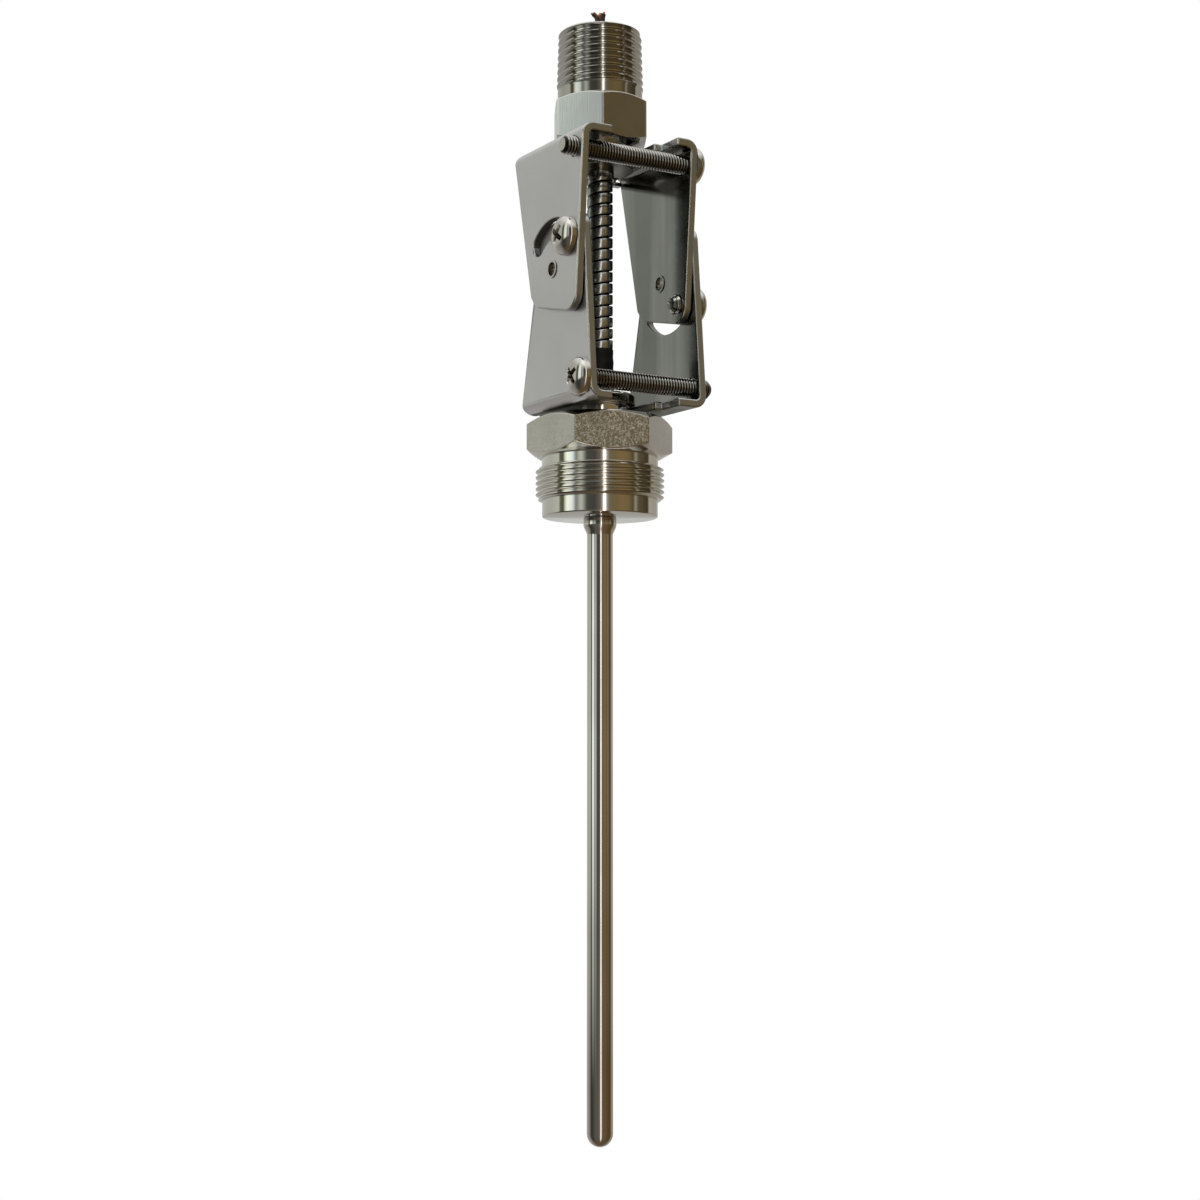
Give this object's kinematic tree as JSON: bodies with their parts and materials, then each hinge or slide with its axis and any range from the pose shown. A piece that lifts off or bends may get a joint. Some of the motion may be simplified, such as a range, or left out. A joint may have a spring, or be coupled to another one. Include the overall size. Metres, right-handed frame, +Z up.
{
  "type": "adjustable-angle rtd probe",
  "caption": "Adjustable-angle resistance temperature probe: slim stem under a threaded hexagon fitting, hinged folded brackets, flexible conduit and a taper-threaded head nipple.",
  "frame": {"origin": "on the stem axis where the process thread reaches its full form, just above its lead-in chamfer", "axes": "+Z up along the stem axis towards the head nipple, -Y towards the open side of the brackets, X along the hinge axis"},
  "size_m": [0.0416, 0.0398, 0.2802],
  "materials": {
    "turned_steel": "fine turned stainless steel",
    "stem_steel": "drawn and polished stainless tube",
    "satin_sheet": "satin cold-rolled stainless sheet",
    "bright_screw": "bright rolled-thread stainless screw",
    "conduit_steel": "strip-wound flexible steel conduit",
    "black_sleeve": "shrunk black tubing, matt",
    "potting": "potting compound",
    "ceramic": "white ceramic",
    "lead_brown": "dark brown lead insulation",
    "lead_red": "orange-red lead insulation",
    "lead_black": "black lead insulation"
  },
  "bodies": {
    "process_connection": {"process_fitting": "turned_steel", "stem_sheath": "stem_steel", "stem_braze": "stem_steel", "rtd_element": "ceramic", "tip_cement": "ceramic", "stem_insulator": "ceramic", "stem_lead_brown": "lead_brown", "stem_lead_red": "lead_red", "stem_lead_black": "lead_black"},
    "lower_arm": {"lower_bracket": "satin_sheet", "lower_tie_screw": "bright_screw", "left_lock_screw": "bright_screw", "left_pivot_rivet": "bright_screw", "right_pivot_rivet": "bright_screw", "conduit": "conduit_steel", "conduit_sleeve": "black_sleeve", "conduit_lead_brown": "lead_brown", "conduit_lead_red": "lead_red", "conduit_lead_black": "lead_black"},
    "upper_arm": {"upper_bracket": "satin_sheet", "upper_tie_screw": "bright_screw", "right_lock_screw": "bright_screw", "conduit_ferrule": "conduit_steel"},
    "head": {"head_nipple": "turned_steel", "lead_seal": "potting", "head_lead_brown": "lead_brown", "head_lead_red": "lead_red", "head_lead_black": "lead_black"}
  },
  "joints": [
    {"name": "stem_swivel", "type": "hinge", "parent": "process_connection", "child": "lower_arm", "pos_m": [0, 0, 0.0217], "axis": [0, 0, 1], "range_deg": [-180, 180]},
    {"name": "tilt", "type": "hinge", "parent": "lower_arm", "child": "upper_arm", "pos_m": [0, -0.00675, 0.0537], "axis": [1, 0, 0], "range_deg": [0, 90], "deforming": ["conduit", "conduit_sleeve", "conduit_lead_brown", "conduit_lead_red", "conduit_lead_black"]},
    {"name": "head_swivel", "type": "hinge", "parent": "upper_arm", "child": "head", "pos_m": [0, 0, 0.0857], "axis": [0, 0, 1], "range_deg": [-180, 180]}
  ]
}
